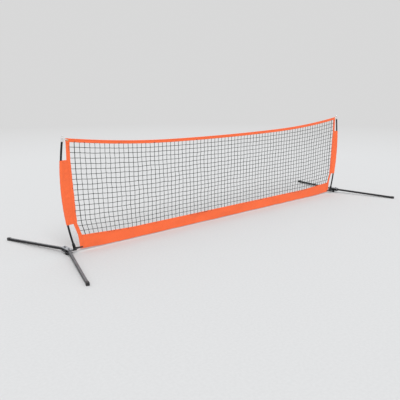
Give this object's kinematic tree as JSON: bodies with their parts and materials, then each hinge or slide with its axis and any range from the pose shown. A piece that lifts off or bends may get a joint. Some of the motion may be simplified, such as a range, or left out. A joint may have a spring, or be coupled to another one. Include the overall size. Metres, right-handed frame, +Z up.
{
  "type": "portable low court net",
  "caption": "Low free-standing sports net with cloth tapes, bowed end poles in cloth sleeves, and folding two-legged feet.",
  "frame": {"origin": "on the ground, under the middle of the net", "axes": "+X along the net to its right end, +Y to the rear legs' side, +Z up"},
  "size_m": [4.0206, 1.3952, 0.9395],
  "materials": {
    "net_twine": "matte",
    "orange_cloth": "matte",
    "white_cord": "matte",
    "black_webbing": "matte",
    "eyelet_metal": "satin",
    "black_rod": "satin",
    "ferrule_metal": "satin",
    "cap_metal": "satin",
    "black_steel": "satin",
    "zinc_steel": "satin",
    "bush_steel": "satin",
    "black_rubber": "matte",
    "black_plastic": "matte"
  },
  "bodies": {
    "net_and_poles": {"netting": "net_twine", "top_tape": "orange_cloth", "headline_cord": "white_cord", "bottom_band": "orange_cloth", "left_side_tape": "orange_cloth", "left_pole_sleeve": "orange_cloth", "left_eyelet": "eyelet_metal", "left_pole_lower": "black_rod", "left_pole_upper": "black_rod", "left_ferrule": "ferrule_metal", "left_pole_cap": "cap_metal", "left_corner_loop": "white_cord", "left_bottom_strap": "black_webbing", "right_side_tape": "orange_cloth", "right_pole_sleeve": "orange_cloth", "right_eyelet": "eyelet_metal", "right_pole_lower": "black_rod", "right_pole_upper": "black_rod", "right_ferrule": "ferrule_metal", "right_pole_cap": "cap_metal", "right_corner_loop": "white_cord", "right_bottom_strap": "black_webbing"},
    "left_foot": {"left_lower_plate": "black_steel", "left_upper_plate": "zinc_steel", "left_hub_block": "black_steel", "left_pole_socket": "black_steel", "left_foot_pad": "black_rubber", "left_rear_pivot_bolt": "zinc_steel", "left_rear_flange_nut": "zinc_steel", "left_rear_stop_pin": "zinc_steel", "left_front_pivot_bolt": "zinc_steel", "left_front_flange_nut": "zinc_steel", "left_front_stop_pin": "zinc_steel"},
    "left_rear_leg": {"left_rear_leg_tube": "black_steel", "left_rear_leg_bush": "bush_steel", "left_rear_leg_tip": "black_plastic"},
    "left_front_leg": {"left_front_leg_tube": "black_steel", "left_front_leg_bush": "bush_steel", "left_front_leg_tip": "black_plastic"},
    "right_foot": {"right_lower_plate": "black_steel", "right_upper_plate": "zinc_steel", "right_hub_block": "black_steel", "right_pole_socket": "black_steel", "right_foot_pad": "black_rubber", "right_rear_pivot_bolt": "zinc_steel", "right_rear_flange_nut": "zinc_steel", "right_rear_stop_pin": "zinc_steel", "right_front_pivot_bolt": "zinc_steel", "right_front_flange_nut": "zinc_steel", "right_front_stop_pin": "zinc_steel"},
    "right_rear_leg": {"right_rear_leg_tube": "black_steel", "right_rear_leg_bush": "bush_steel", "right_rear_leg_tip": "black_plastic"},
    "right_front_leg": {"right_front_leg_tube": "black_steel", "right_front_leg_bush": "bush_steel", "right_front_leg_tip": "black_plastic"}
  },
  "joints": [
    {"name": "left_foot_pull_off", "type": "slide", "parent": "left_foot", "child": "net_and_poles", "axis": [-0.2588, 0, 0.9659], "range_m": [0, 0.06]},
    {"name": "left_rear_leg_fold", "type": "hinge", "parent": "left_foot", "child": "left_rear_leg", "pos_m": [-1.797, 0.03397, 0.03837], "axis": [0, 0, 1], "range_deg": [0, 73]},
    {"name": "left_front_leg_fold", "type": "hinge", "parent": "left_foot", "child": "left_front_leg", "pos_m": [-1.797, -0.03397, 0.03837], "axis": [0, 0, -1], "range_deg": [0, 73]},
    {"name": "right_foot_pull_off", "type": "slide", "parent": "net_and_poles", "child": "right_foot", "axis": [-0.2588, 0, -0.9659], "range_m": [0, 0.06]},
    {"name": "right_rear_leg_fold", "type": "hinge", "parent": "right_foot", "child": "right_rear_leg", "pos_m": [1.797, 0.03397, 0.03837], "axis": [0, 0, -1], "range_deg": [0, 73]},
    {"name": "right_front_leg_fold", "type": "hinge", "parent": "right_foot", "child": "right_front_leg", "pos_m": [1.797, -0.03397, 0.03837], "axis": [0, 0, 1], "range_deg": [0, 73]}
  ],
  "couplings": [
    {"joint": "right_foot_pull_off", "follows": "left_foot_pull_off", "ratio": 1}
  ]
}
